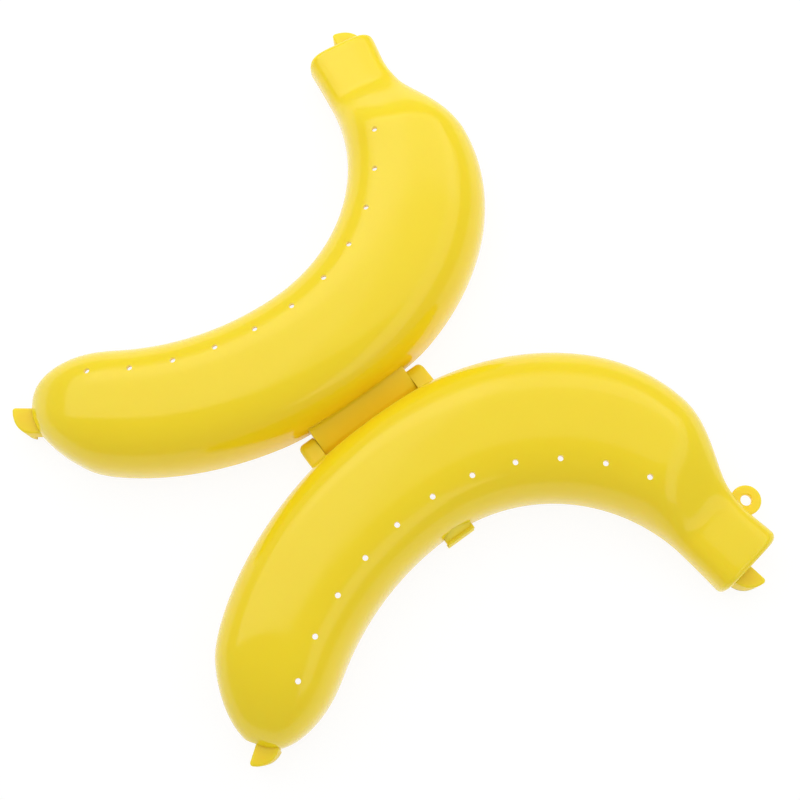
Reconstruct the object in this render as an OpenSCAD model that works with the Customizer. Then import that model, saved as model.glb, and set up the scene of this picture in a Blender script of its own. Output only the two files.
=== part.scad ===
// Hinged hard case for one banana, lying open with both cavities down.
// X runs along the hinge toward the stem, +Y toward the lid, +Z up from the table.

/* [Plan] */
// Radius of the concave rim between its middle and the blossom end
tip_arc_r = 101; // [80:1:125]
// Angle of that arc
tip_sweep = 37; // [32:0.5:45]
// Straight run from the arc to the blossom end
tip_run = 23.5; // [16:0.5:30]
// Radius of the concave rim between its middle and the stem
stem_arc_r = 61.5; // [55:0.5:80]
// Angle of that arc
stem_sweep = 80.5; // [74:0.5:90]
// Straight run from the arc to the end of the stem
stem_run = 18.6; // [12:0.2:26]
// Middle of the concave rim, measured along the hinge from the hinge's middle
apex_x = -2.4; // [-8:0.1:8]

/* [Widths] */
// Width of a half near the blossom end, before its rounding
tip_w = 38.4; // [34:0.2:46]
// Width halfway to the blossom end
quarter_w = 45.8; // [40:0.2:52]
// Width at the hinge
mid_w = 49.4; // [46:0.2:56]
// Width at the shoulder, the widest place
shoulder_w = 52.4; // [48:0.2:58]
// Width where the body bends into the neck
bend_w = 45.2; // [38:0.2:50]
// Width of the neck
neck_w = 27.2; // [22:0.2:32]
// Width at the end of the stem
stem_w = 26.6; // [22:0.2:34]
// Shift of the end of the stem toward its concave side
stem_lean = 0.9; // [0:0.1:2]

/* [Shells] */
// Height of the crown above the rim
crown_h = 24.4; // [20:0.2:28]
// Height of the stem above the rim
stem_h = 12.4; // [10:0.2:17]
// Wall thickness
wall = 1.6; // [1.2:0.1:2.4]
// Squareness of the body's section, 2 is an ellipse
body_square = 2.7; // [2.2:0.1:4]
// Squareness of the stem's section
stem_square = 4; // [3:0.1:6]
// Length over which the blossom end rounds off in plan
tip_round = 30.5; // [22:0.5:40]
// Length over which the blossom end rounds off in height
tip_slope = 35.5; // [28:0.5:48]
// Rounding around the end of the stem
stem_round = 2.5; // [2:0.1:4]
// Gap between the two rims when the case is shut
rim_gap = 0.3; // [0.2:0.05:0.6]

/* [Vents] */
// Number of vent holes in each half
vent_count = 11; // [5:1:11]
// Distance between vent holes
vent_pitch = 15; // [12:0.5:15.5]
// Radius of a vent hole
vent_r = 0.95; // [0.6:0.05:1.5]
// Distance of the vent row from the concave rim
vent_inset = 11.5; // [9:0.5:16]
// Shift of the row's middle hole toward the stem
vent_shift = 2; // [-3:0.5:3]

/* [Hinge] */
// Overall length of the hinge
hinge_len = 53; // [44:0.5:56]
// Width of each ear on the base
ear_w = 6.4; // [5:0.1:8]
// Radius of the barrel and of the ears
knuckle_r = 4.2; // [3.6:0.1:4.4]
// Rounding of the ears' outer ends
ear_round = 2; // [0.5:0.1:2.2]
// Radius of the stub pins
pin_r = 1.7; // [1.2:0.1:2]
// Reach of a stub pin into its ear
pin_len = 5; // [3:0.1:5.5]
// Radial running clearance of a stub pin
pin_clear = 0.06; // [0.03:0.01:0.1]
// Gap between the barrel and an ear
ear_gap = 0.5; // [0.3:0.05:0.8]
// Distance from the hinge axis to the flat on either shell
flat_y = 4.8; // [4.7:0.1:6]
// Thickness of the webs that carry the barrel and the ears
web_t = 3.4; // [2.4:0.1:3.5]

/* [Latch] */
// Middle of the latch, measured along the hinge from the hinge's middle
latch_x = 1.2; // [-6:0.1:6]
// Width of the latch
latch_w = 11; // [8:0.5:16]
// Thickness of the latch tongue
tongue_t = 0.9; // [0.8:0.1:1.4]
// Length of the latch tongue below its pivot
tongue_len = 4.3; // [3.9:0.1:5]
// Height of the tongue's pivot above the rim
pivot_h = 1.7; // [1.5:0.1:2.2]
// Gap between the shut tongue and the lid's wall
tongue_gap = 0.85; // [0.75:0.05:1.4]
// Angle that the free tongue leans outward
tongue_lean = 5; // [4:0.5:10]
// Reach of the hook at the tongue's foot
hook = 0.5; // [0.4:0.05:0.6]
// Height of the hook
hook_h = 0.7; // [0.6:0.1:1]
// Clearance between the tongue and its seat in the bracket
seat_clear = 0.1; // [0.06:0.02:0.2]
// Height of the latch bracket above the pivot
bracket_h = 2.4; // [1.6:0.1:3]
// Bracket in front of the tongue's seat
bracket_lip = 0.3; // [0.2:0.1:0.8]
// Reach of the catch ridge on the lid
catch_out = 0.55; // [0.45:0.05:0.6]
// Gap between the shut hook and the catch ridge
catch_gap = 0.25; // [0.2:0.05:0.4]

/* [Ring and tabs] */
// Outer radius of the hanging ring
ring_r = 5.2; // [4.6:0.1:7]
// Radius of the hole in the hanging ring
ring_hole_r = 1.9; // [1.5:0.1:2.8]
// Thickness of the hanging ring
ring_t = 2.4; // [1.6:0.1:3.5]
// Distance of the ring's middle from the rim
ring_out = 3.6; // [2.6:0.1:4.5]
// Distance of the ring past the bend, toward the end of the stem
ring_shift = 3.2; // [0:0.1:6]
// Reach of the end tabs past the shells
tab_reach = 7.2; // [4:0.1:8]
// Width of each tab on the base
base_tab_w = 8; // [6:0.1:10]
// Width of each tab on the lid
lid_tab_w = 9.4; // [6:0.1:10.5]
// Height of a tab above the rim
tab_h = 6; // [3:0.1:6.5]
// Shift of the tabs' meeting line at the blossom end toward the hinge side
tip_tab_shift = 1.4; // [0:0.1:2]
// Gap between the two tabs of one end, and from a tab to the opposite shell
tab_gap = 0.4; // [0.3:0.05:0.8]

/* [Hidden] */
$fn = 64;

shell_yellow = "#F2D63C";
deep_yellow = "#F2C01E";

DEG = 180 / PI;
// The flat beside the hinge cuts this much off the round outline of a half
flat_cut = 1.5;
rim_reach = flat_y - flat_cut + mid_w;
axis_z = knuckle_r;
rim_z = axis_z + rim_gap / 2;

// Stations along the concave rim: 0 at its middle, negative toward the blossom end
tip_bend = tip_arc_r * tip_sweep / DEG;
stem_bend = stem_arc_r * stem_sweep / DEG;
tip_s = -tip_bend - tip_run;
stem_s = stem_bend + stem_run;
// The rounded blossom end is cut flat this far before its round would close
tip_blunt = 1.3;
neck_start = 0.76 * stem_bend;

width_at = [tip_s, 0.58 * tip_s, 0, 0.51 * stem_bend, neck_start, 0.965 * stem_bend, stem_s];
width_of = [tip_w, quarter_w, mid_w, shoulder_w, bend_w, neck_w, stem_w];

tip_steps = 9;
body_steps = 38;
end_steps = 4;
sides = 22;
body_from = tip_s + tip_round;
body_to = stem_s - stem_round;
stations = concat(
    [for (i = [0:tip_steps - 1]) tip_s + tip_round * (1 - cos(90 * i / tip_steps))],
    [for (i = [0:body_steps]) body_from + (body_to - body_from) * i / body_steps],
    [for (i = [1:end_steps]) body_to + stem_round * sin(90 * i / end_steps)]);

// Smooth curve through the values ys at the places xs
function slope(i, xs, ys) =
    let (a = max(i - 1, 0), b = min(i + 1, len(xs) - 1)) (ys[b] - ys[a]) / (xs[b] - xs[a]);
function span(x, xs, i = 0) = i >= len(xs) - 2 || x < xs[i + 1] ? i : span(x, xs, i + 1);
function curve(x, xs, ys) =
    let (i = span(x, xs), h = xs[i + 1] - xs[i], u = (x - xs[i]) / h)
    ys[i] * (1 + 2 * u) * (1 - u) ^ 2 + slope(i, xs, ys) * h * u * (1 - u) ^ 2
    + ys[i + 1] * u ^ 2 * (3 - 2 * u) + slope(i + 1, xs, ys) * h * u ^ 2 * (u - 1);
function ease(x, a, b) = let (u = min(1, max(0, (x - a) / (b - a)))) u ^ 2 * (3 - 2 * u);

// The concave rim at a station, its direction toward the stem and its normal toward the hinge side
function arc_r(s) = s < 0 ? tip_arc_r : stem_arc_r;
function turn(s) = s < 0 ? max(s / tip_arc_r * DEG, -tip_sweep) : min(s / stem_arc_r * DEG, stem_sweep);
function along(s) = [cos(turn(s)), sin(turn(s))];
function outward(s) = [sin(turn(s)), -cos(turn(s))];
function rim_point(s) =
    let (a = turn(s), r = arc_r(s), run = s - a / DEG * r)
    [apex_x + r * sin(a), rim_reach + r * (1 - cos(a))] + run * along(s);

// Half width, crown height and squareness of the section at a station
function full_w(s) = curve(s, width_at, width_of);
function tip_cap(s, length) = sqrt(1 - (1 - min(1, (s - tip_s + tip_blunt) / length)) ^ 2);
function end_cap(s) = let (d = max(0, s - body_to)) stem_round - sqrt(max(0, stem_round ^ 2 - d ^ 2));
// The stem's section leans toward its concave side, more and more toward the end
lean_from = 0.9 * stem_bend;
function lean(s) = stem_lean * max(0, (s - lean_from) / (stem_s - lean_from)) ^ 2;
function centre_w(s) = full_w(s) / 2 - lean(s);
function half_w(s) = full_w(s) / 2 * tip_cap(s, tip_round) - end_cap(s);
function crown(s) =
    (crown_h + (stem_h - crown_h) * ease(s, neck_start, stem_bend)) * tip_cap(s, tip_slope) - end_cap(s);
function square_of(s) = body_square + (stem_square - body_square) * ease(s, neck_start, stem_bend);

// Point k of the section at station s, with the skin moved inward by inset
function skin(s, k, inset) =
    let (a = 180 * k / sides, p = 2 / square_of(s), c = cos(a))
    let (lateral = -sign(c) * (half_w(s) - inset) * abs(c) ^ p)
    let (xy = rim_point(s) + outward(s) * (centre_w(s) + lateral))
    [xy.x, max(xy.y, flat_y + inset), rim_z + (crown(s) - inset) * max(0, sin(a)) ^ p];
function rim_outer(s) = skin(s, sides, 0);
function middle(s) = rim_point(s) + outward(s) * centre_w(s);

// Vent holes follow the concave rim at their own arc length
vents = [for (i = [0:vent_count - 1])
    let (l = vent_shift + vent_pitch * (i - (vent_count - 1) / 2))
    let (s = l * arc_r(l) / (arc_r(l) + vent_inset))
    rim_point(s) + outward(s) * vent_inset];

// Outline of an end tab: u across the end from its middle, v out of the end
function tab_round(w, from_v) =
    [for (i = [0:12]) let (t0 = asin(from_v / tab_reach), t = t0 + (90 - t0) * i / 12)
        [tab_gap / 2 + (w - tab_gap / 2) * cos(t), tab_reach * sin(t)]];

function tab_middle(s) = middle(s) + (s < 0 ? tip_tab_shift : 0) * outward(s);

// The origin is under the middle of the open case
tip_tab_x = [for (p = tab_round(lid_tab_w, 0))
    (tab_middle(tip_s) + p.x * outward(tip_s) - p.y * along(tip_s)).x];
mid_x = (max([for (s = stations) rim_outer(s).x]) + min(tip_tab_x)) / 2;

function quad(a, b, c, d) = [[a, b, c], [a, c, d]];
function flat_list(l) = [for (a = l) each a];

// Thin shell of one half, lid side, between its outer and its inner skin
module half_shell() {
    n = len(stations);
    m = sides + 1;
    squeeze = (stem_s - tip_s - 2 * wall) / (stem_s - tip_s);
    outer = [for (s = stations) each [for (k = [0:sides]) skin(s, k, 0)]];
    inner = [for (s = stations) let (t = tip_s + wall + (s - tip_s) * squeeze)
        each [for (k = [0:sides]) skin(t, k, wall)]];
    z = n * m;
    last = (n - 1) * m;
    skins = flat_list([for (i = [0:n - 2]) each [for (k = [0:sides - 1]) let (a = i * m + k) each [
        quad(a, a + m, a + m + 1, a + 1),
        quad(z + a, z + a + 1, z + a + m + 1, z + a + m)]]]);
    rims = flat_list([for (i = [0:n - 2]) let (a = i * m, b = i * m + sides) each [
        quad(a, z + a, z + a + m, a + m),
        quad(b, b + m, z + b + m, z + b)]]);
    ends = concat(
        [[for (k = [0:sides]) k], [for (k = [0:sides]) z + sides - k]],
        [[for (k = [0:sides]) last + sides - k], [for (k = [0:sides]) z + last + k]],
        quad(0, sides, z + sides, z),
        quad(last, z + last, z + last + sides, last + sides));
    polyhedron(concat(outer, inner), concat(skins, rims, ends));
}

// Solid of one half between two stations, to trim what is moulded onto its outside
module half_solid(from, to) {
    picked = [for (s = stations) if (s >= from && s <= to) s];
    n = len(picked);
    m = sides + 1;
    points = [for (s = picked) each [for (k = [0:sides]) skin(s, k, 0)]];
    last = (n - 1) * m;
    top = flat_list([for (i = [0:n - 2]) each [for (k = [0:sides - 1]) let (a = i * m + k)
        quad(a, a + m, a + m + 1, a + 1)]]);
    floor = flat_list([for (i = [0:n - 2]) let (a = i * m)
        quad(a, a + sides, a + m + sides, a + m)]);
    ends = [[for (k = [0:sides]) k], [for (k = [0:sides]) last + sides - k]];
    polyhedron(points, concat(top, floor, ends));
}

module vented_half() {
    difference() {
        half_shell();
        for (v = vents)
            translate([v.x, v.y, rim_z]) cylinder(h = 2 * crown_h, r = vent_r);
    }
}

// Places a half's pieces: the lid as drawn, the base mirrored across the hinge
module on_lid() { translate([-mid_x, 0, 0]) children(); }
module on_base() { translate([-mid_x, 0, 0]) mirror([0, 1, 0]) children(); }

module along_x(x0, x1, r) {
    translate([x0, 0, axis_z]) rotate([0, 90, 0]) cylinder(h = x1 - x0, r = r);
}

// Web from the hinge axis to the flat of a half
module hinge_web(x0, x1) {
    difference() {
        translate([x0, 0, rim_z]) cube([x1 - x0, 2 * flat_y, web_t]);
        half_solid(-hinge_len / 2, hinge_len / 2);
    }
}

ear_x = hinge_len / 2 - ear_w;
barrel_x = ear_x - ear_gap;

// Ear of the base for one end of the hinge, side is 1 toward the stem
module ear(side) {
    x0 = side > 0 ? ear_x : -ear_x - ear_w;
    corner = [for (i = [0:8]) [knuckle_r - ear_round + ear_round * cos(90 * i / 8),
        ear_w - ear_round + ear_round * sin(90 * i / 8)]];
    difference() {
        union() {
            translate([side * ear_x, 0, axis_z]) rotate([0, side * 90, 0])
                rotate_extrude() polygon(concat([[0, 0], [knuckle_r, 0]], corner, [[0, ear_w]]));
            hinge_web(x0 + (side > 0 ? 0 : ear_round), x0 + ear_w - (side > 0 ? ear_round : 0));
        }
        along_x(x0 - 1, x0 + ear_w + 1, pin_r + pin_clear);
    }
}

module base_shell() { color(shell_yellow) on_base() vented_half(); }
module lid_shell() { color(shell_yellow) on_lid() vented_half(); }
module base_hinge_ear_stem() { color(deep_yellow) on_base() ear(1); }
module base_hinge_ear_tip() { color(deep_yellow) on_base() ear(-1); }

module lid_hinge_barrel() {
    color(deep_yellow) on_lid() union() {
        along_x(-barrel_x, barrel_x, knuckle_r);
        hinge_web(-barrel_x, barrel_x);
    }
}

module lid_hinge_pin_stem() {
    color(deep_yellow) on_lid() along_x(barrel_x, barrel_x + ear_gap + pin_len, pin_r);
}

module lid_hinge_pin_tip() {
    color(deep_yellow) on_lid() along_x(-barrel_x - ear_gap - pin_len, -barrel_x, pin_r);
}

// The latch is square to the hinge; its wall plane is the rim's farthest place behind it
latch_wall = max([for (side = [-1, 1])
    let (x = latch_x + side * latch_w / 2 - apex_x, r = arc_r(x)) rim_reach + r - sqrt(r ^ 2 - x ^ 2)]);
pivot_y = latch_wall + tongue_gap + tongue_t / 2;
pivot_z = rim_z + pivot_h;
latch_span = latch_w + 10;

module base_latch_bracket() {
    depth = tongue_t + seat_clear + bracket_lip;
    color(shell_yellow) on_base() difference() {
        translate([latch_x - latch_w / 2, rim_reach - wall, pivot_z])
            cube([latch_w, pivot_y + depth / 2 + bracket_lip / 2 - rim_reach + wall, bracket_h]);
        translate([latch_x - latch_w, pivot_y, pivot_z]) rotate([0, 90, 0])
            cylinder(h = 2 * latch_w, r = tongue_t / 2 + seat_clear);
        half_solid(-latch_span, latch_span);
    }
}

module latch_tongue() {
    color(shell_yellow) on_base() translate([latch_x - latch_w / 2, pivot_y, pivot_z])
        rotate([tongue_lean, 0, 0]) union() {
            rotate([0, 90, 0]) cylinder(h = latch_w, r = tongue_t / 2);
            translate([0, -tongue_t / 2, -tongue_len]) cube([latch_w, tongue_t, tongue_len]);
            translate([0, -tongue_t / 2 - hook, -tongue_len]) cube([latch_w, tongue_t / 2 + hook, hook_h]);
        }
}

// Shut, the ridge lies just above the hook
module lid_latch_catch() {
    top = tongue_len - pivot_h - hook_h - catch_gap - rim_gap;
    color(shell_yellow) on_lid() difference() {
        translate([latch_x - latch_w / 2, rim_reach - wall, rim_z])
            cube([latch_w, latch_wall + catch_out - rim_reach + wall, top]);
        half_solid(-latch_span, latch_span);
    }
}

module hang_ring() {
    s = stem_bend + ring_shift;
    edge = rim_outer(s);
    c = [edge.x, edge.y] + ring_out * outward(s);
    color(shell_yellow) on_base() difference() {
        translate([c.x, c.y, rim_z]) cylinder(h = ring_t, r = ring_r);
        translate([c.x, c.y, rim_z - 1]) cylinder(h = ring_t + 2, r = ring_hole_r);
        half_solid(s - 3 * ring_r, s + 2 * ring_r);
    }
}

// Tab at an end station: across is 1 on the hinge side of the end, -1 on its concave side
module end_tab(s, across, w) {
    out = s < 0 ? -along(s) : along(s);
    c = tab_middle(s);
    side = across * outward(s);
    place = function (p) c + p.x * side + p.y * out;
    root = concat(tab_round(w, 0), [[tab_gap / 2, -w], [w, -w]]);
    tongue = concat(tab_round(w, tab_gap), [[tab_gap / 2, tab_gap]]);
    union() {
        difference() {
            translate([0, 0, rim_z]) linear_extrude(tab_h) polygon([for (p = root) place(p)]);
            half_solid(s < 0 ? s : s - 2 * w, s < 0 ? s + 2 * w : s);
        }
        linear_extrude(rim_z) polygon([for (p = tongue) place(p)]);
    }
}

module base_tip_tab() { color(shell_yellow) on_base() end_tab(tip_s, -1, base_tab_w); }
module base_stem_tab() { color(shell_yellow) on_base() end_tab(stem_s, -1, base_tab_w); }
module lid_tip_tab() { color(shell_yellow) on_lid() end_tab(tip_s, 1, lid_tab_w); }
module lid_stem_tab() { color(shell_yellow) on_lid() end_tab(stem_s, 1, lid_tab_w); }

base_shell();
lid_shell();
base_hinge_ear_stem();
base_hinge_ear_tip();
lid_hinge_barrel();
lid_hinge_pin_stem();
lid_hinge_pin_tip();
base_latch_bracket();
latch_tongue();
lid_latch_catch();
hang_ring();
base_tip_tab();
base_stem_tab();
lid_tip_tab();
lid_stem_tab();
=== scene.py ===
"""Looks of the banana carrying case, lying open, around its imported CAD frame."""

import math

import bmesh
import bpy
import numpy as np
from mathutils import Matrix, Vector


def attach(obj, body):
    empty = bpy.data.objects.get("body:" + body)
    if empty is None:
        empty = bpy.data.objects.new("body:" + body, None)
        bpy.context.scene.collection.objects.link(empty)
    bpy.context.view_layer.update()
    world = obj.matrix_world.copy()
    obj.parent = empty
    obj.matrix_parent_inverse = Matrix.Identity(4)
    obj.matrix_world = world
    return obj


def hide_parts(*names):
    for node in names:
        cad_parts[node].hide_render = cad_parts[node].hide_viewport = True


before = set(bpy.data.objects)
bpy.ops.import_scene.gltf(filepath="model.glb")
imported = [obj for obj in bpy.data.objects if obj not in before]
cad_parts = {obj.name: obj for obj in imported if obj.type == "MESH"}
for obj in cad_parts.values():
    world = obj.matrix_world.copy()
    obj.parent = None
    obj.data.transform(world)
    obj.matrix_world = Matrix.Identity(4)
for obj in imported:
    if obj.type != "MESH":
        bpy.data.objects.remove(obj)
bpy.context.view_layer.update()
MM = 0.001

# Camera: a 57 mm lens held over the table, about 0.44 m above the open case.
# It looks almost straight down and is turned so that the hinge runs uphill to the right.
eye = Vector((-34.0, -105.04, 438.76)) * MM
aim = Vector((18.45, -2.87, 4.35)) * MM
roll = math.radians(-36.84)
lens_data = bpy.data.cameras.new("lens")
lens_data.lens = 56.955
lens_data.sensor_width = 36
lens_data.clip_start = 0.01
camera = bpy.data.objects.new("camera", lens_data)
bpy.context.scene.collection.objects.link(camera)
gaze = (aim - eye).normalized()
side = gaze.cross(Vector((0, 1, 0))).normalized()
upright = Matrix((side, side.cross(gaze), -gaze)).transposed()
camera.matrix_world = Matrix.Translation(eye) @ (upright @ Matrix.Rotation(roll, 3, "Z")).to_4x4()
bpy.context.scene.camera = camera

# Half shells: two curved half tubes of polypropylene, moulded with a 1.6 mm wall, open toward the table.
# Each is a rounded-square section swept along the concave rim, with a row of vents through it.


def add_node(tree, kind, links=None, **settings):
    """Adds a node, then sets or links its inputs; a linked node stands for its first output."""
    node = tree.nodes.new(kind)
    for name, value in settings.items():
        setattr(node, name, value)
    for label, value in (links or {}).items():
        socket = node.inputs[label] if isinstance(label, int) else next(
            s for s in node.inputs if s.enabled and s.name == label)
        if isinstance(value, bpy.types.Node):
            value = next(s for s in value.outputs if s.enabled)
        if isinstance(value, bpy.types.NodeSocket):
            tree.links.new(value, socket)
        else:
            socket.default_value = value
    return node


def linear(code):
    """The linear colour of an sRGB hex code."""
    shares = [int(code[i:i + 2], 16) / 255 for i in (1, 3, 5)]
    return [c / 12.92 if c <= 0.04045 else ((c + 0.055) / 1.055) ** 2.4 for c in shares] + [1.0]


# Yellow polypropylene is slightly translucent, so thin walls and edges glow a deeper yellow.
# Moulding leaves a faint orange peel, a slow waviness and a slightly uneven tint and gloss.
def polypropylene(name, smooth_from, smooth_to):
    """The moulding compound, with its roughness wandering between two values."""
    plastic = bpy.data.materials.new(name)
    plastic.use_nodes = True
    tree = plastic.node_tree
    tree.nodes.clear()
    place = add_node(tree, "ShaderNodeTexCoord").outputs["Object"]
    tint_patch, peel_size, wave_size = 18 * MM, 1.4 * MM, 22 * MM
    tint = add_node(tree, "ShaderNodeTexNoise", {"Vector": place, "Scale": 1 / tint_patch, "Detail": 2.0})
    deep, light = linear("#FBD91D"), linear("#FDDC21")
    colour = add_node(tree, "ShaderNodeMix", {"Factor": tint, "A": deep, "B": light}, data_type="RGBA")
    gloss = add_node(tree, "ShaderNodeMapRange", {"Value": tint, "To Min": smooth_from, "To Max": smooth_to})
    wave = add_node(tree, "ShaderNodeTexNoise", {"Vector": place, "Scale": 1 / wave_size, "Detail": 0.0})
    peel = add_node(tree, "ShaderNodeTexNoise", {"Vector": place, "Scale": 1 / peel_size, "Detail": 1.0})
    waves = add_node(tree, "ShaderNodeBump", {"Height": wave, "Strength": 0.15, "Distance": 0.15 * MM})
    skin = add_node(tree, "ShaderNodeBump",
                    {"Height": peel, "Strength": 0.08, "Distance": 0.02 * MM, "Normal": waves})
    surface = add_node(tree, "ShaderNodeBsdfPrincipled", {
        "Base Color": colour, "Roughness": gloss, "Normal": skin, "IOR": 1.49,
        "Subsurface Weight": 0.5, "Subsurface Radius": (1.0, 0.75, 0.1), "Subsurface Scale": 5 * MM})
    add_node(tree, "ShaderNodeOutputMaterial", {"Surface": surface})
    return plastic


glossy = polypropylene("gloss_yellow_polypropylene", 0.12, 0.16)

# Sizes in millimetres; s is the length along the concave rim, 0 at its apex and negative toward the tip.
tip_arc_r, tip_sweep, tip_run = 101.0, math.radians(37), 23.5
stem_arc_r, stem_sweep, stem_run, stem_lean = 61.5, math.radians(80.5), 18.6, 0.9
apex_x, shift_x, flat_y, rim_reach, rim_z = -2.4, 5.60838, 4.8, 52.7, 4.35
crown_h, stem_h, wall = 24.4, 12.4, 1.6
body_square, stem_square = 2.7, 4.0
tip_round, tip_slope, tip_blunt, stem_round = 30.5, 35.5, 1.3, 2.5
tip_bend, stem_bend = tip_arc_r * tip_sweep, stem_arc_r * stem_sweep
tip_s, stem_s = -tip_bend - tip_run, stem_bend + stem_run
neck_start, lean_from, body_to = 0.76 * stem_bend, 0.9 * stem_bend, stem_s - stem_round
width_at = np.array([tip_s, 0.58 * tip_s, 0, 0.51 * stem_bend, neck_start, 0.965 * stem_bend, stem_s])
width_of = np.array([38.4, 45.8, 49.4, 52.4, 45.2, 27.2, 26.6])


def ease(s, a, b):
    u = np.clip((s - a) / (b - a), 0, 1)
    return u * u * (3 - 2 * u)


def rim_turn(s):
    return np.where(s < 0, np.maximum(s / tip_arc_r, -tip_sweep), np.minimum(s / stem_arc_r, stem_sweep))


def outward(s):
    return np.stack([np.sin(rim_turn(s)), -np.cos(rim_turn(s)), 0 * s], -1)


def along(s):
    return np.stack([np.cos(rim_turn(s)), np.sin(rim_turn(s)), 0 * s], -1)


def rim_point(s):
    a, r = rim_turn(s), np.where(s < 0, tip_arc_r, stem_arc_r)
    arc = np.stack([shift_x + apex_x + r * np.sin(a), rim_reach + r * (1 - np.cos(a)), rim_z + 0 * s], -1)
    return arc + (s - a * r)[..., None] * along(s)


def full_w(s):
    low, high = np.maximum(np.arange(7) - 1, 0), np.minimum(np.arange(7) + 1, 6)
    slope = (width_of[high] - width_of[low]) / (width_at[high] - width_at[low])
    i = np.clip(np.searchsorted(width_at, s, side="right") - 1, 0, 5)
    h = width_at[i + 1] - width_at[i]
    u = (s - width_at[i]) / h
    return (width_of[i] * (1 + 2 * u) * (1 - u) ** 2 + slope[i] * h * u * (1 - u) ** 2
            + width_of[i + 1] * u * u * (3 - 2 * u) + slope[i + 1] * h * u * u * (u - 1))


def tip_cap(s, length):
    return np.sqrt(1 - (1 - np.minimum(1, (s - tip_s + tip_blunt) / length)) ** 2)


def end_cap(s):
    return stem_round - np.sqrt(np.maximum(0, stem_round ** 2 - np.maximum(0, s - body_to) ** 2))


def half_w(s):
    return full_w(s) / 2 * tip_cap(s, tip_round) - end_cap(s)


def crown(s):
    full_h = crown_h + (stem_h - crown_h) * ease(s, neck_start, stem_bend)
    return full_h * tip_cap(s, tip_slope) - end_cap(s)


def middle(s):
    lean = stem_lean * np.clip((s - lean_from) / (stem_s - lean_from), 0, 1) ** 2
    return rim_point(s) + outward(s) * (full_w(s) / 2 - lean)[..., None]


def make_rail(name, mirror):
    """A line of points, one for each section of a half, that carries the section's sizes."""
    tip_steps, body_steps, end_steps = 24, 120, 8
    tip_turn = np.linspace(0, math.pi / 2, tip_steps + 1)[:-1]
    end_turn = np.linspace(0, math.pi / 2, end_steps + 1)[1:]
    run = np.concatenate([
        tip_s + tip_round * (1 - np.cos(tip_turn)),
        np.linspace(tip_s + tip_round, body_to, body_steps + 1),
        body_to + stem_round * np.sin(end_turn)])
    caps = np.array([0, 0.2, 0.4, 0.6, 0.8, 0.94])
    s = np.concatenate([np.full(len(caps), tip_s), run, np.full(len(caps), stem_s)])
    f = np.concatenate([caps, np.ones(len(run)), caps[::-1]])
    inner_s = tip_s + wall + (s - tip_s) * (stem_s - tip_s - 2 * wall) / (stem_s - tip_s)
    flip = np.array([1, -1 if mirror else 1, 1])
    sizes = {
        "outer_at": middle(s) * flip * MM, "inner_at": middle(inner_s) * flip * MM,
        "rim_at": rim_point(s) * flip * MM, "across": outward(s) * flip, "across_in": outward(inner_s) * flip,
        "outer_half": half_w(s) * f * MM, "inner_half": (half_w(inner_s) - wall) * f * MM,
        "outer_rise": crown(s) * f * MM, "inner_rise": (crown(inner_s) - wall) * f * MM,
        "square": body_square + (stem_square - body_square) * ease(s, neck_start, stem_bend)}
    mesh = bpy.data.meshes.new(name)
    mesh.vertices.add(len(s))
    mesh.edges.add(len(s) - 1)
    mesh.edges.foreach_set("vertices", np.repeat(np.arange(len(s)), 2)[1:-1])
    mesh.vertices.foreach_set("co", sizes["outer_at"].ravel())
    for label, values in sizes.items():
        vector = values.ndim == 2
        attribute = mesh.attributes.new(label, "FLOAT_VECTOR" if vector else "FLOAT", "POINT")
        attribute.data.foreach_set("vector" if vector else "value", values.ravel())
    rail = bpy.data.objects.new(name, mesh)
    bpy.context.scene.collection.objects.link(rail)
    return rail


shell = bpy.data.node_groups.new("swept_half_shell", "GeometryNodeTree")
for label, kind in (("Rail", "Geometry"), ("Rows", "Int"), ("Sides", "Int"), ("Rim Steps", "Int"),
                    ("Hinge Side", "Float"), ("Flat", "Float"), ("Flat Blend", "Float"), ("Wall", "Float"),
                    ("Rim Round", "Float"), ("Vent Count", "Int"), ("Vent Pitch", "Float"),
                    ("Vent Start", "Float"), ("Vent Inset", "Float"), ("Vent Radius", "Float"),
                    ("Vent Top", "Float"), ("Plastic", "Material")):
    shell.interface.new_socket(label, in_out="INPUT", socket_type="NodeSocket" + kind)
shell.interface.new_socket("Shell", in_out="OUTPUT", socket_type="NodeSocketGeometry")
given = add_node(shell, "NodeGroupInput").outputs

# Every grid row is one section: outer skin, rim, inner skin, rim again.
loop = add_node(shell, "ShaderNodeMath", {0: given["Sides"], 1: given["Rim Steps"]}, operation="ADD")
columns = add_node(shell, "ShaderNodeMath", {0: loop, 1: 2.0, 2: 1.0}, operation="MULTIPLY_ADD")
grid = add_node(shell, "GeometryNodeMeshGrid", {"Vertices X": given["Rows"], "Vertices Y": columns})
index = add_node(shell, "GeometryNodeInputIndex")
spot = add_node(shell, "ShaderNodeMath", {0: index, 1: 0.5}, operation="ADD")
spot = add_node(shell, "ShaderNodeMath", {0: spot, 1: columns}, operation="DIVIDE")
row = add_node(shell, "ShaderNodeMath", {0: spot}, operation="FLOOR")
before = add_node(shell, "ShaderNodeMath", {0: row, 1: columns}, operation="MULTIPLY")
step = add_node(shell, "ShaderNodeMath", {0: index, 1: before}, operation="SUBTRACT")
past_outer = add_node(shell, "ShaderNodeMath", {0: step, 1: given["Sides"]}, operation="SUBTRACT")
past_rim = add_node(shell, "ShaderNodeMath", {0: step, 1: loop}, operation="SUBTRACT")
past_inner = add_node(shell, "ShaderNodeMath", {0: past_rim, 1: given["Sides"]}, operation="SUBTRACT")
over = add_node(shell, "ShaderNodeMath", {0: step, 1: given["Sides"]}, operation="DIVIDE", use_clamp=True)
back = add_node(shell, "ShaderNodeMath", {0: past_rim, 1: given["Sides"]}, operation="DIVIDE", use_clamp=True)
turn = add_node(shell, "ShaderNodeMath", {0: over, 1: back}, operation="SUBTRACT")
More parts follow.
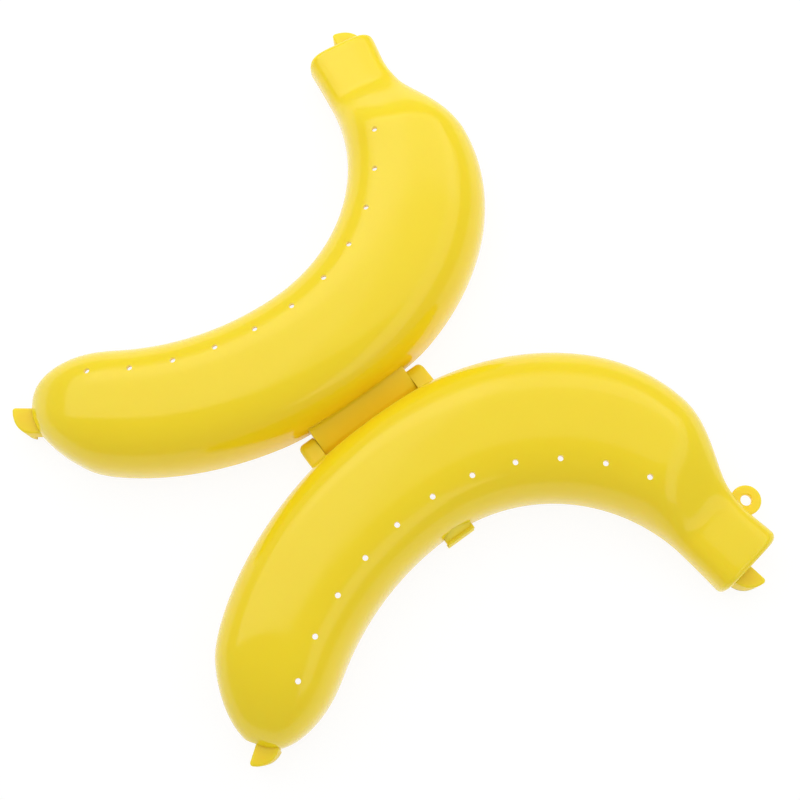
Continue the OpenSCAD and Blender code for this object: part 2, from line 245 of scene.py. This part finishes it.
down = add_node(shell, "ShaderNodeMath", {0: past_outer, 1: given["Rim Steps"]},
                operation="DIVIDE", use_clamp=True)
up = add_node(shell, "ShaderNodeMath", {0: past_inner, 1: given["Rim Steps"]},
              operation="DIVIDE", use_clamp=True)
inside = add_node(shell, "ShaderNodeMath", {0: down, 1: up}, operation="SUBTRACT")
on_rail = {}
for label, kind in (("outer_half", "FLOAT"), ("inner_half", "FLOAT"), ("outer_rise", "FLOAT"),
                    ("inner_rise", "FLOAT"), ("outer_at", "FLOAT_VECTOR"), ("inner_at", "FLOAT_VECTOR"),
                    ("across", "FLOAT_VECTOR"), ("across_in", "FLOAT_VECTOR"), ("square", "FLOAT")):
    named = add_node(shell, "GeometryNodeInputNamedAttribute", {"Name": label}, data_type=kind)
    on_rail[label] = add_node(shell, "GeometryNodeSampleIndex",
                              {"Geometry": given["Rail"], "Value": named, "Index": row}, data_type=kind)
half = add_node(shell, "ShaderNodeMix",
                {"Factor": inside, "A": on_rail["outer_half"], "B": on_rail["inner_half"]}, data_type="FLOAT")
rise = add_node(shell, "ShaderNodeMix",
                {"Factor": inside, "A": on_rail["outer_rise"], "B": on_rail["inner_rise"]}, data_type="FLOAT")
centre = add_node(shell, "ShaderNodeMix",
                  {"Factor": inside, "A": on_rail["outer_at"], "B": on_rail["inner_at"]}, data_type="VECTOR")
across = add_node(shell, "ShaderNodeMix",
                  {"Factor": inside, "A": on_rail["across"], "B": on_rail["across_in"]}, data_type="VECTOR")

# The section is a rounded square, drawn by angle so that its points stay evenly spaced.
angle = add_node(shell, "ShaderNodeMath", {0: turn, 1: math.pi}, operation="MULTIPLY")
cosine = add_node(shell, "ShaderNodeMath", {0: angle}, operation="COSINE")
sine = add_node(shell, "ShaderNodeMath", {0: angle}, operation="SINE")
sine = add_node(shell, "ShaderNodeMath", {0: sine}, operation="ABSOLUTE")
level = add_node(shell, "ShaderNodeMath", {0: cosine}, operation="ABSOLUTE")
level = add_node(shell, "ShaderNodeMath", {0: level, 1: on_rail["square"]}, operation="POWER")
steep = add_node(shell, "ShaderNodeMath", {0: sine, 1: on_rail["square"]}, operation="POWER")
spread = add_node(shell, "ShaderNodeMath", {0: level, 1: steep}, operation="ADD")
root = add_node(shell, "ShaderNodeMath", {0: -1.0, 1: on_rail["square"]}, operation="DIVIDE")
reach = add_node(shell, "ShaderNodeMath", {0: spread, 1: root}, operation="POWER")
wide = add_node(shell, "ShaderNodeMath", {0: half, 1: reach}, operation="MULTIPLY")
wide = add_node(shell, "ShaderNodeMath", {0: wide, 1: cosine}, operation="MULTIPLY")
lateral = add_node(shell, "ShaderNodeMath", {0: wide, 1: -1.0}, operation="MULTIPLY")
high = add_node(shell, "ShaderNodeMath", {0: rise, 1: reach}, operation="MULTIPLY")

# The rim's two edges are rounded: they rise a little while its middle stays on the rim plane.
edge = add_node(shell, "ShaderNodeMath", {0: inside, 1: 2.0, 2: -1.0}, operation="MULTIPLY_ADD")
edge = add_node(shell, "ShaderNodeMath", {0: edge, 1: 2.0}, operation="POWER")
edge = add_node(shell, "ShaderNodeMath", {0: edge, 1: given["Rim Round"]}, operation="MULTIPLY")
near = add_node(shell, "ShaderNodeMath", {0: 1.0, 1: sine}, operation="SUBTRACT")
near = add_node(shell, "ShaderNodeMath", {0: near, 1: 8.0}, operation="POWER")
edge = add_node(shell, "ShaderNodeMath", {0: edge, 1: near}, operation="MULTIPLY")
height = add_node(shell, "ShaderNodeMath", {0: high, 1: sine, 2: edge}, operation="MULTIPLY_ADD")
lift = add_node(shell, "ShaderNodeCombineXYZ", {"Z": height})
sideways = add_node(shell, "ShaderNodeVectorMath", {0: across, "Scale": lateral}, operation="SCALE")
point = add_node(shell, "ShaderNodeVectorMath", {0: centre, 1: sideways}, operation="ADD")
point = add_node(shell, "ShaderNodeVectorMath", {0: point, 1: lift}, operation="ADD")

# Beside the hinge the convex side is flat.
axes = add_node(shell, "ShaderNodeSeparateXYZ", {0: point}).outputs
flat_here = add_node(shell, "ShaderNodeMath", {0: given["Wall"], 1: inside, 2: given["Flat"]},
                     operation="MULTIPLY_ADD")
off_axis = add_node(shell, "ShaderNodeMath", {0: axes["Y"], 1: given["Hinge Side"]}, operation="MULTIPLY")
off_axis = add_node(shell, "ShaderNodeMath", {0: off_axis, 1: flat_here, 2: given["Flat Blend"]},
                    operation="SMOOTH_MAX")
off_axis = add_node(shell, "ShaderNodeMath", {0: off_axis, 1: given["Hinge Side"]}, operation="MULTIPLY")
flattened = add_node(shell, "ShaderNodeCombineXYZ", {"X": axes["X"], "Y": off_axis, "Z": axes["Z"]})
swept = add_node(shell, "GeometryNodeSetPosition", {"Geometry": grid, "Position": flattened})
weld = 0.002 * MM
closed = add_node(shell, "GeometryNodeMergeByDistance", {"Geometry": swept, "Distance": weld})

# The vents are drilled straight up along a line beside the concave rim.
rim_at = add_node(shell, "GeometryNodeInputNamedAttribute", {"Name": "rim_at"}, data_type="FLOAT_VECTOR")
away = add_node(shell, "GeometryNodeInputNamedAttribute", {"Name": "across"}, data_type="FLOAT_VECTOR")
inset = add_node(shell, "ShaderNodeVectorMath", {0: away, "Scale": given["Vent Inset"]}, operation="SCALE")
vent_at = add_node(shell, "ShaderNodeVectorMath", {0: rim_at, 1: inset}, operation="ADD")
vent_line = add_node(shell, "GeometryNodeSetPosition", {"Geometry": given["Rail"], "Position": vent_at})
vent_curve = add_node(shell, "GeometryNodeMeshToCurve", {"Mesh": vent_line})
vent_run = add_node(shell, "ShaderNodeMath", {0: index, 1: given["Vent Pitch"], 2: given["Vent Start"]},
                    operation="MULTIPLY_ADD")
vent_spot = add_node(shell, "GeometryNodeSampleCurve", {"Curves": vent_curve, "Length": vent_run},
                     mode="LENGTH")
vent_points = add_node(shell, "GeometryNodePoints",
                       {"Count": given["Vent Count"], "Position": vent_spot.outputs["Position"]})
drill = add_node(shell, "GeometryNodeMeshCylinder",
                 {"Vertices": 28, "Radius": given["Vent Radius"], "Depth": given["Vent Top"]})
half_drill = add_node(shell, "ShaderNodeMath", {0: given["Vent Top"], 1: 2.0}, operation="DIVIDE")
drill_foot = add_node(shell, "ShaderNodeCombineXYZ", {"Z": half_drill})
drill_up = add_node(shell, "GeometryNodeTransform", {"Geometry": drill, "Translation": drill_foot})
drills = add_node(shell, "GeometryNodeInstanceOnPoints", {"Points": vent_points, "Instance": drill_up})
drills = add_node(shell, "GeometryNodeRealizeInstances", {"Geometry": drills})
pierced = add_node(shell, "GeometryNodeMeshBoolean", {"Mesh 1": closed, "Mesh 2": drills},
                   operation="DIFFERENCE", solver="EXACT")
whole = add_node(shell, "GeometryNodeRealizeInstances", {"Geometry": pierced})
coloured = add_node(shell, "GeometryNodeSetMaterial", {"Geometry": whole, "Material": given["Plastic"]})
add_node(shell, "NodeGroupOutput", {"Shell": coloured})


def make_piece(name, mesh, plastic):
    """An object of that mesh, its faces turned outwards and smooth up to its sharp edges."""
    bm = bmesh.new()
    bm.from_mesh(mesh)
    bmesh.ops.remove_doubles(bm, verts=bm.verts, dist=weld)
    bmesh.ops.recalc_face_normals(bm, faces=bm.faces)
    bm.to_mesh(mesh)
    bm.free()
    mesh.name = name
    mesh.shade_smooth()
    mesh.set_sharp_from_angle(angle=math.radians(35))
    mesh.materials.clear()
    mesh.materials.append(plastic)
    piece = bpy.data.objects.new(name, mesh)
    bpy.context.scene.collection.objects.link(piece)
    return piece


vent_count, vent_pitch, vent_inset, vent_shift, vent_r = 11, 15.0, 11.5, 2.0, 0.95
vent_middle = tip_run + tip_sweep * (tip_arc_r + vent_inset) + vent_shift
vent_start = vent_middle - vent_pitch * (vent_count - 1) / 2
for half_name, hinge_side in (("base", -1.0), ("lid", 1.0)):
    rail = make_rail(half_name + "_rail", hinge_side < 0)
    sweep = rail.modifiers.new("sweep", "NODES")
    sweep.node_group = shell
    chosen = {"Rows": len(rail.data.vertices), "Sides": 64, "Rim Steps": 8, "Hinge Side": hinge_side,
              "Flat": flat_y * MM, "Flat Blend": 3 * MM, "Wall": wall * MM, "Rim Round": 0.5 * MM,
              "Vent Count": vent_count, "Vent Pitch": vent_pitch * MM, "Vent Start": vent_start * MM,
              "Vent Inset": vent_inset * MM, "Vent Radius": vent_r * MM, "Vent Top": 2 * crown_h * MM,
              "Plastic": glossy}
    for item in shell.interface.items_tree:
        if item.in_out == "INPUT" and item.name in chosen:
            sweep[item.identifier] = chosen[item.name]
    bpy.context.view_layer.update()
    seen = rail.evaluated_get(bpy.context.evaluated_depsgraph_get())
    mesh = bpy.data.meshes.new_from_object(seen)
    bpy.data.objects.remove(rail)
    half_shell = make_piece(half_name + "_half_shell", mesh, glossy)
    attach(half_shell, half_name)
    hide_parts(half_name + "_shell")

# Hinge ears: two short knuckles moulded onto the base, each bored for a stub pin.
# They run up the flat of the base with a fillet and their outer ends are rounded off.
# The hinge comes from a textured part of the mould, so it looks duller than the shells.
satin = polypropylene("satin_yellow_polypropylene", 0.45, 0.5)
knuckle_r, axis_z, hinge_len, ear_w, ear_round, bore_r = 4.2, 4.2, 53.0, 6.4, 2.0, 1.76
ear_x = hinge_len / 2 - ear_w
ear_slope, ear_fillet, root_from, root_blend = math.radians(8), 1.6, 1.0, 4.0
wall_bite, fillet_bite, foot_clear, flat_bow, crisp = 0.9, 0.35, 0.3, 0.8, 0.1
on_half = {"base": np.array([1, -1, 1]), "lid": np.array([1, 1, 1])}


def arc(at, radius, start, stop, steps):
    turns = np.linspace(start, stop, steps + 1)
    return np.stack([at[0] + radius * np.cos(turns), at[1] + radius * np.sin(turns)], -1)


def moulding(outline, low, high, low_round, high_round, place, steps=(), share=1.0):
    """A bar of that outline between low and high, both ends rounded over by each point's share.

    place puts the bar's points on the case."""
    ahead = np.roll(outline, -1, 0) - outline
    normal = np.stack([ahead[:, 1], -ahead[:, 0]], -1) / np.linalg.norm(ahead, axis=1, keepdims=True)
    behind = np.roll(normal, 1, 0)
    corner = share * (normal + behind) / (1 + (normal * behind).sum(1, keepdims=True))
    round_steps = 7
    swing = np.linspace(0, math.pi / 2, round_steps + 1)
    rows = [(low + low_round * (1 - math.cos(a)), low_round * (1 - math.sin(a))) for a in swing]
    rows += [(t, 0) for t in steps]
    rows += [(high - high_round * (1 - math.cos(a)), high_round * (1 - math.sin(a))) for a in swing[::-1]]
    n = len(outline)
    points = np.concatenate([place((outline - corner * inset)[:, 0], (outline - corner * inset)[:, 1], t)
                             for t, inset in rows])
    faces = [(i * n + j, i * n + (j + 1) % n, (i + 1) * n + (j + 1) % n, (i + 1) * n + j)
             for i in range(len(rows) - 1) for j in range(n)]
    faces += [tuple(range(n))[::-1], tuple(range((len(rows) - 1) * n, len(rows) * n))]
    mesh = bpy.data.meshes.new("moulding")
    mesh.from_pydata((points * MM).tolist(), [], faces)
    return mesh


def knuckle_outline(slope, fillet):
    """Across the hinge, in y and z: a round knuckle whose top slopes up to a fillet at the wall."""
    touch = math.pi / 2 + slope
    top_y, top_z = knuckle_r * math.cos(touch), axis_z + knuckle_r * math.sin(touch)
    fillet_y = flat_y + fillet_bite - fillet
    fillet_z = top_z + (fillet + (fillet_y - top_y) * math.sin(slope)) / math.cos(slope)
    foot_z = rim_z + foot_clear
    foot = 2 * math.pi + math.asin((foot_z - axis_z) / knuckle_r)
    return np.concatenate([
        [(flat_y + wall_bite, foot_z), (flat_y + wall_bite, fillet_z)],
        arc((fillet_y, fillet_z), fillet, 0, touch - math.pi, 12),
        arc((0, axis_z), knuckle_r, touch, foot, 44)])


def along_hinge(half_name):
    """Puts a bar's points along the hinge of a half; its root follows that half's curved wall."""
    def put(y, z, x):
        off = x - apex_x
        wall_r = (tip_arc_r if off < 0 else stem_arc_r) + width_of[2]
        bow = max(0.0, off * off / 2 / wall_r - flat_bow)
        follows = (z > axis_z + knuckle_r / 2) | (y > flat_y)
        y = y + np.where(follows, bow * np.clip((y - root_from) / root_blend, 0, 1), 0)
        return np.stack([x + shift_x + 0 * y, y, z], -1) * on_half[half_name]
    return put


for end, low, high, rounds in (("stem", ear_x, ear_x + ear_w, (crisp, ear_round)),
                               ("tip", -ear_x - ear_w, -ear_x, (ear_round, crisp))):
    outline = knuckle_outline(ear_slope, ear_fillet)
    fading = np.clip((flat_y + fillet_bite - outline[:, :1]) / ear_round, 0, 1)
    blank = moulding(outline, low, high, *rounds, along_hinge("base"), share=fading)
    solid = make_piece(end + "_ear_blank", blank, satin)
    bm = bmesh.new()
    bmesh.ops.create_cone(bm, cap_ends=True, segments=48, radius1=bore_r * MM, radius2=bore_r * MM, depth=0.1)
    drill_mesh = bpy.data.meshes.new("bore")
    bm.to_mesh(drill_mesh)
    bm.free()
    drill_mesh.transform(Matrix.Translation((0, 0, axis_z * MM)) @ Matrix.Rotation(math.pi / 2, 4, "Y"))
    bore = bpy.data.objects.new("bore", drill_mesh)
    bpy.context.scene.collection.objects.link(bore)
    cut = solid.modifiers.new("bore", "BOOLEAN")
    cut.operation, cut.solver, cut.object = "DIFFERENCE", "EXACT", bore
    bpy.context.view_layer.update()
    mesh = bpy.data.meshes.new_from_object(solid.evaluated_get(bpy.context.evaluated_depsgraph_get()))
    bpy.data.objects.remove(solid)
    bpy.data.objects.remove(bore)
    ear = make_piece(end + "_hinge_ear", mesh, satin)
    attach(ear, "base")
    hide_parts("base_hinge_ear_" + end)

# Hinge barrel: the long knuckle moulded onto the lid between the two ears.
# Its top slopes up to the lid's flat and ends there in a fillet.
barrel_slope, barrel_fillet, barrel_gap = math.radians(25), 1.8, 0.2
barrel_x = ear_x - barrel_gap
barrel = make_piece("hinge_barrel", moulding(
    knuckle_outline(barrel_slope, barrel_fillet), -barrel_x, barrel_x, crisp, crisp, along_hinge("lid"),
    np.linspace(1 - barrel_x, barrel_x - 1, 9)), satin)
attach(barrel, "lid")
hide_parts("lid_hinge_barrel")

# Stub pins: plain round studs of the same plastic, moulded onto both ends of the barrel.
# They turn in the ears, out of sight, so the CAD's own pins stay and only take the finish.
for end in ("stem", "tip"):
    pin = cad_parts["lid_hinge_pin_" + end]
    pin.data.materials.clear()
    pin.data.materials.append(satin)

# Latch bracket: a low ledge moulded onto the base's concave side, over the latch tongue.
# Behind its rounded lip the top climbs the wall, highest in the middle.
latch_x, latch_w, latch_wall = 1.2, 11.0, 53.377
pivot_y, pivot_z, tongue_t, seat_clear = 54.677, 6.05, 0.9, 0.1
front_y, ledge_z, latch_root = 55.477, 8.45, 51.3
lip_y, lip_round, lip_drop, seat_round, climb = front_y - 1.2, 0.6, 0.15, 0.15, 7.0
bracket_round, bracket_even = 0.5, 0.44 * latch_w
latch_from, latch_to = latch_x - latch_w / 2, latch_x + latch_w / 2


def along_latch(half_name, climb):
    """Puts a bar's points along the latch of a half; its top climbs toward the root."""
    def put(y, z, x):
        bow = math.sqrt(max(0.0, 1 - (2 * (x - latch_x) / latch_w) ** 2))
        rise = climb * bow * np.clip((lip_y - y) / (lip_y - latch_root), 0, 1)
        z = z + np.where(z > pivot_z + 1, rise, 0)
        return np.stack([x + shift_x + 0 * y, y, z], -1) * on_half[half_name]
    return put


bracket_outline = np.concatenate([
    [(latch_root, pivot_z)],
    arc((pivot_y, pivot_z), tongue_t / 2 + seat_clear, math.pi, 0, 12),
    arc((front_y - seat_round, pivot_z + seat_round), seat_round, -math.pi / 2, 0, 4)[1:],
    arc((front_y - lip_round, ledge_z - lip_round), lip_round, 0, math.pi / 2, 10),
    [(y, ledge_z - lip_drop) for y in np.linspace(lip_y, latch_root, 9)]])
bracket = make_piece("latch_bracket", moulding(
    bracket_outline, latch_from, latch_to, bracket_round, bracket_round, along_latch("base", climb),
    np.linspace(latch_x - bracket_even, latch_x + bracket_even, 19)), satin)
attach(bracket, "base")
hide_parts("base_latch_bracket")

# Latch tongue: a thin flap moulded with the bracket, from which it hangs by a film of plastic.
# It leans outward and ends in a small hook.
tongue_len, tongue_lean, hook, hook_h, hook_round = 4.3, math.radians(5), 0.5, 0.7, 0.2
hanging = np.concatenate([
    arc((-tongue_t / 2 - hook + hook_round, -tongue_len + hook_round), hook_round, math.pi, 1.5 * math.pi, 4),
    arc((tongue_t / 2 - hook_round, -tongue_len + hook_round), hook_round, -math.pi / 2, 0, 4),
    arc((0, 0), tongue_t / 2, 0, math.pi, 12),
    [(-tongue_t / 2, -tongue_len + hook_h), (-tongue_t / 2 - hook, -tongue_len + hook_h)]])
tongue_outline = np.stack([
    pivot_y + hanging[:, 0] * math.cos(tongue_lean) - hanging[:, 1] * math.sin(tongue_lean),
    pivot_z + hanging[:, 0] * math.sin(tongue_lean) + hanging[:, 1] * math.cos(tongue_lean)], -1)
tongue = make_piece("latch_flap", moulding(
    tongue_outline, latch_from, latch_to, hook_round, hook_round, along_latch("base", 0)), satin)
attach(tongue, "latch")
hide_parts("latch_tongue")

# Catch ridge: a low rail moulded along the lid's concave rim, as glossy as the shell.
# The tongue's hook snaps over it, so its edges are rounded.
catch_y, catch_h, foot_round, catch_round = latch_wall + 0.55, 1.35, 0.2, 0.25
catch_outline = np.concatenate([
    [(latch_root, rim_z)],
    arc((catch_y - foot_round, rim_z + foot_round), foot_round, -math.pi / 2, 0, 4),
    arc((catch_y - catch_round, rim_z + catch_h - catch_round), catch_round, 0, math.pi / 2, 4),
    [(latch_root, rim_z + catch_h)]])
ridge = make_piece("catch_ridge", moulding(
    catch_outline, latch_from, latch_to, catch_round, catch_round, along_latch("lid", 0)), glossy)
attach(ridge, "lid")
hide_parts("lid_latch_catch")

# Hanging ring: a flat glossy eye moulded onto the base's neck, for a cord.
# A rounded section runs round its hole, and the side toward the neck ends inside the wall.
ring_r, ring_hole_r, ring_t, ring_out, ring_shift = 5.2, 1.9, 2.4, 3.6, 3.2
ring_s = np.array(stem_bend + ring_shift)
neck_wall = middle(ring_s) + outward(ring_s) * half_w(ring_s)
outer_round, hole_round, ring_bite, ring_steps = 0.6, 0.45, 1.2, 96
ring_section = np.concatenate([
    arc((ring_hole_r + hole_round, rim_z + hole_round), hole_round, math.pi, 1.5 * math.pi, 6),
    arc((ring_r - outer_round, rim_z + outer_round), outer_round, -math.pi / 2, 0, 6),
    arc((ring_r - outer_round, rim_z + ring_t - outer_round), outer_round, 0, math.pi / 2, 6),
    arc((ring_hole_r + hole_round, rim_z + ring_t - hole_round), hole_round, math.pi / 2, math.pi, 6)])
turns = np.linspace(0, 2 * math.pi, ring_steps + 1)[:-1, None]
reach_out = np.maximum(ring_out + ring_section[:, 0] * np.cos(turns), -ring_bite)
ring_points = (neck_wall + reach_out[..., None] * outward(ring_s)
               + (ring_section[:, 0] * np.sin(turns))[..., None] * along(ring_s))
ring_points[..., 2] = ring_section[:, 1]
n = len(ring_section)
ring_mesh = bpy.data.meshes.new("ring")
ring_mesh.from_pydata(
    (ring_points.reshape(-1, 3) * on_half["base"] * MM).tolist(), [],
    [(i * n + j, i * n + (j + 1) % n, (i + 1) % ring_steps * n + (j + 1) % n, (i + 1) % ring_steps * n + j)
     for i in range(ring_steps) for j in range(n)])
ring = make_piece("hanging_eye", ring_mesh, glossy)
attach(ring, "base")
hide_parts("hang_ring")

# End tabs: quarter-round fins at both ends of both halves, side by side when the case is shut.
# Above the rim each fin grows out of its shell; below the rim its foot stands clear of it.
tab_reach, tab_h, tab_gap, tip_tab_shift = 7.2, 6.0, 0.4, 1.4
tab_round, foot_edge, nose_r, tab_root, rim_step = 0.8, 0.3, 1.1, 9.0, 0.001


def end_tab(s, across, tab_w, half_name):
    """Mesh of a fin at an end: u runs across the end from its middle, v out of the end."""
    out = -along(s) if s < 0 else along(s)
    shift = tip_tab_shift if s < 0 else 0.0
    nose = math.acos(nose_r / (tab_w - tab_gap / 2))
    outline = np.concatenate([
        [(tab_gap / 2, -tab_root), (tab_w, -tab_root)],
        arc((0, 0), 1, 0, nose, 20)[:-1] * (tab_w - tab_gap / 2, tab_reach) + (tab_gap / 2, 0),
        arc((tab_gap / 2 + nose_r, tab_reach * math.sin(nose) - nose_r), nose_r, nose, math.pi, 10)])
    deepest, samples = 20.0, 200
    sample = np.linspace(0, deepest, samples)
    inland = s + sample if s < 0 else s - sample
    square = body_square if s < 0 else stem_square

    def put(u, v, z):
        rise = np.minimum(max(0.0, z - rim_z) / crown(inland), 1)
        shell_half = half_w(inland) * (1 - rise ** square) ** (1 / square)
        depth = np.interp(np.abs(across * u + shift), shell_half, sample)
        v = np.maximum(v, tab_gap if z < rim_z else -depth - wall_bite)
        flat = middle(s) + (across * u + shift)[:, None] * outward(s) + v[:, None] * out
        return np.stack([flat[:, 0], flat[:, 1], z + 0 * u], -1) * on_half[half_name]

    at_rim = (rim_z - rim_step, rim_z + rim_step)
    return moulding(outline, 0.0, rim_z + tab_h, foot_edge, tab_round, put, at_rim)


for half_name, across, tab_w in (("base", -1, 8.0), ("lid", 1, 9.4)):
    for end, s in (("tip", np.array(tip_s)), ("stem", np.array(stem_s))):
        tab = make_piece(f"{half_name}_{end}_fin", end_tab(s, across, tab_w, half_name), satin)
        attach(tab, half_name)
        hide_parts(f"{half_name}_{end}_tab")

# Studio: a white light table, four soft boxes that hang level over it and a grey room.
# The table shows its white to the lens and in reflections, and lights the case gently from below.
table = bpy.data.meshes.new("table")
span, glow_share, glow_strength = 10.0, 0.85, 1.05
corners = [(-span, -span, 0), (span, -span, 0), (span, span, 0), (-span, span, 0)]
table.from_pydata(corners, [], [(0, 1, 2, 3)])
floor = bpy.data.objects.new("table", table)
bpy.context.scene.collection.objects.link(floor)

# Opal acrylic, lit from behind: white to the lens, with a small matt share that takes a faint shadow.
opal = bpy.data.materials.new("opal_acrylic_table")
opal.use_nodes = True
tree = opal.node_tree
tree.nodes.clear()
ray = add_node(tree, "ShaderNodeLightPath").outputs
shown = add_node(tree, "ShaderNodeMath", {0: ray["Is Camera Ray"], 1: ray["Is Glossy Ray"]}, operation="ADD")
shown = add_node(tree, "ShaderNodeMath", {0: shown, 1: ray["Is Transmission Ray"]},
                 operation="ADD", use_clamp=True)
bright = add_node(tree, "ShaderNodeMath", {0: shown, 1: glow_share}, operation="MULTIPLY")
matt = add_node(tree, "ShaderNodeBsdfDiffuse", {"Color": linear("#F4F4F4")})
glow = add_node(tree, "ShaderNodeEmission", {"Color": linear("#FFFFFF"), "Strength": glow_strength})
mixed = add_node(tree, "ShaderNodeMixShader", {"Fac": bright, 1: matt, 2: glow})
add_node(tree, "ShaderNodeOutputMaterial", {"Surface": mixed})
table.materials.append(opal)


def soft_box(name, at, width, depth, watts):
    """A rectangular soft box that hangs level over the table, its width along the picture's."""
    data = bpy.data.lights.new(name, "AREA")
    data.shape, data.size, data.size_y, data.energy = "RECTANGLE", width, depth, watts
    lamp = bpy.data.objects.new(name, data)
    bpy.context.scene.collection.objects.link(lamp)
    lamp.matrix_world = Matrix.Translation(at) @ Matrix.Rotation(roll, 4, "Z")
    return lamp


soft_box("left_box", (-0.291, 0.887, 0.8), 1.47, 1.13, 5.3)
soft_box("middle_box", (0.509, 0.287, 0.8), 0.53, 1.13, 1.0)
soft_box("right_box", (0.72, -0.54, 0.8), 0.8, 2.2, 4.4)
soft_box("far_box", (0.3, 0.4, 0.4), 0.9, 0.5, 0.8)
light_table = soft_box("light_table", (0, 0, 0.0004), 1.2, 1.2, 1.5)
light_table.matrix_world = light_table.matrix_world @ Matrix.Rotation(math.pi, 4, "X")
light_table.visible_camera = light_table.visible_glossy = False
room = bpy.data.worlds.new("room")
bpy.context.scene.world = room
room.use_nodes = True
walls = room.node_tree.nodes["Background"].inputs
walls["Color"].default_value = linear("#BABABA")
walls["Strength"].default_value = 1.0

bpy.context.scene.view_settings.view_transform = "Standard"
